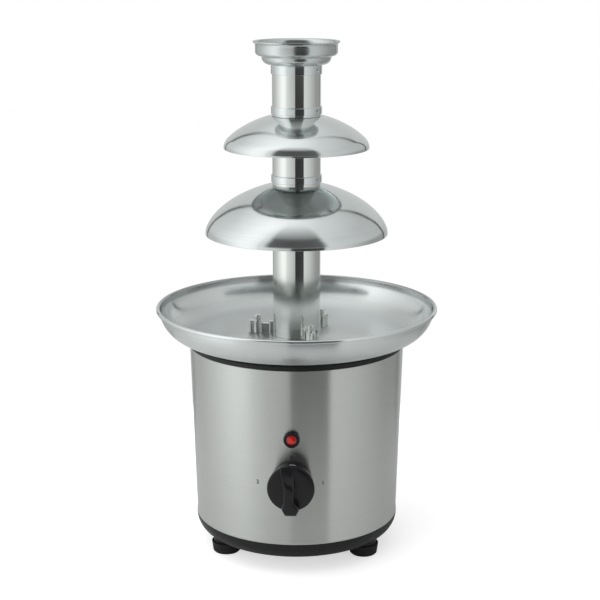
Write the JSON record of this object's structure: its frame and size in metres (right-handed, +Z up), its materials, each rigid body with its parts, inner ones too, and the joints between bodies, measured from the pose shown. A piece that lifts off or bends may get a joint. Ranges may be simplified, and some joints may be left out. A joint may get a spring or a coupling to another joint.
{
  "type": "chocolate fountain",
  "caption": "Steel drum base with heater, geared motor and switch under a shallow bowl, with a lift-off tower of two domed tiers and a crown round a turning auger.",
  "frame": {"origin": "centre of the object on the surface that the feet stand on", "axes": "+Z up along the tower, the knob and lamp face -Y, +X to the right seen from the front"},
  "size_m": [0.2158, 0.2158, 0.391],
  "materials": {
    "spun_steel": "satin polished, spun",
    "polished_steel": "polished stainless steel",
    "auger_steel": "satin stainless steel",
    "drum_steel": "brushed round the drum",
    "black_plastic": "satin black",
    "knob_plastic": "glossy black",
    "rubber": "matt black",
    "lens_red": "clear red, ribbed inside",
    "bulb_glass": "clear glass",
    "silicone": "food-grade silicone",
    "zinc_steel": "zinc plated",
    "heater_aluminium": "cast, matt",
    "thermo_brown": "moulded phenolic",
    "fuse_brass": "plain",
    "gear_nylon": "moulded nylon",
    "case_plastic": "moulded",
    "iron": "laminated",
    "copper": "enamelled copper wire",
    "wire_sleeve": "heat-proof sleeve"
  },
  "bodies": {
    "base": {"base_pan": "black_plastic", "drum_shell": "drum_steel", "top_ring": "black_plastic", "foot_left": "rubber", "foot_right": "rubber", "foot_rear": "rubber", "foot_screws": "zinc_steel", "tie_pillars": "zinc_steel", "plate_screws": "zinc_steel", "support_plate": "zinc_steel", "bowl": "spun_steel", "shaft_seal": "silicone", "guide_pins": "polished_steel", "pin_spacers": "zinc_steel", "pin_nuts": "zinc_steel", "heater_plate": "heater_aluminium", "heating_element": "heater_aluminium", "thermostat": "thermo_brown", "thermal_fuse": "fuse_brass", "gear_case": "case_plastic", "cluster_pin": "zinc_steel", "shaft_bush": "fuse_brass", "motor_can": "zinc_steel", "motor_end_cap": "zinc_steel", "stator_core": "iron", "stator_windings": "copper", "motor_screws": "zinc_steel", "rotary_switch": "black_plastic", "switch_nut": "zinc_steel", "lamp_bezel": "knob_plastic", "lamp_lens": "lens_red", "neon_bulb": "bulb_glass", "lamp_clip": "zinc_steel", "lead_gland": "black_plastic", "gland_nut": "black_plastic", "terminal_block": "gear_nylon", "block_screws": "zinc_steel", "wiring": "wire_sleeve"},
    "tower": {"tower_foot": "polished_steel", "lower_tube": "polished_steel", "middle_tube": "polished_steel", "upper_tube": "polished_steel", "large_tier": "spun_steel", "small_tier": "spun_steel", "large_tier_collar": "polished_steel", "small_tier_collar": "polished_steel", "crown_collar": "polished_steel", "crown": "spun_steel"},
    "drive": {"drive_shaft": "zinc_steel", "output_wheel": "gear_nylon", "shaft_clip": "zinc_steel"},
    "auger": {"auger_core": "auger_steel", "auger_flight": "auger_steel"},
    "cluster": {"cluster_gear": "gear_nylon"},
    "rotor": {"rotor_shaft": "zinc_steel", "rotor_core": "iron", "motor_pinion": "fuse_brass", "cooling_fan": "case_plastic"},
    "knob": {"knob": "knob_plastic", "switch_spindle": "zinc_steel"}
  },
  "joints": [
    {"name": "tower_lift", "type": "slide", "parent": "base", "child": "tower", "axis": [0, 0, 1], "range_m": [0, 0.235]},
    {"name": "drive_spin", "type": "hinge", "parent": "base", "child": "drive", "pos_m": [0, 0, 0.15], "axis": [0, 0, 1], "continuous": true},
    {"name": "auger_lift", "type": "slide", "parent": "drive", "child": "auger", "axis": [0, 0, 1], "range_m": [0, 0.235]},
    {"name": "cluster_spin", "type": "hinge", "parent": "base", "child": "cluster", "pos_m": [0.02382, -0.00293, 0.128], "axis": [0, 0, 1], "continuous": true},
    {"name": "rotor_spin", "type": "hinge", "parent": "base", "child": "rotor", "pos_m": [0, 0, 0.09], "axis": [0, 0, 1], "continuous": true},
    {"name": "knob_turn", "type": "hinge", "parent": "base", "child": "knob", "pos_m": [0, -0.082, 0.076], "axis": [0, -1, 0], "range_deg": [-90, 90]}
  ],
  "couplings": [
    {"joint": "cluster_spin", "follows": "drive_spin", "ratio": -4},
    {"joint": "rotor_spin", "follows": "drive_spin", "ratio": 16}
  ]
}
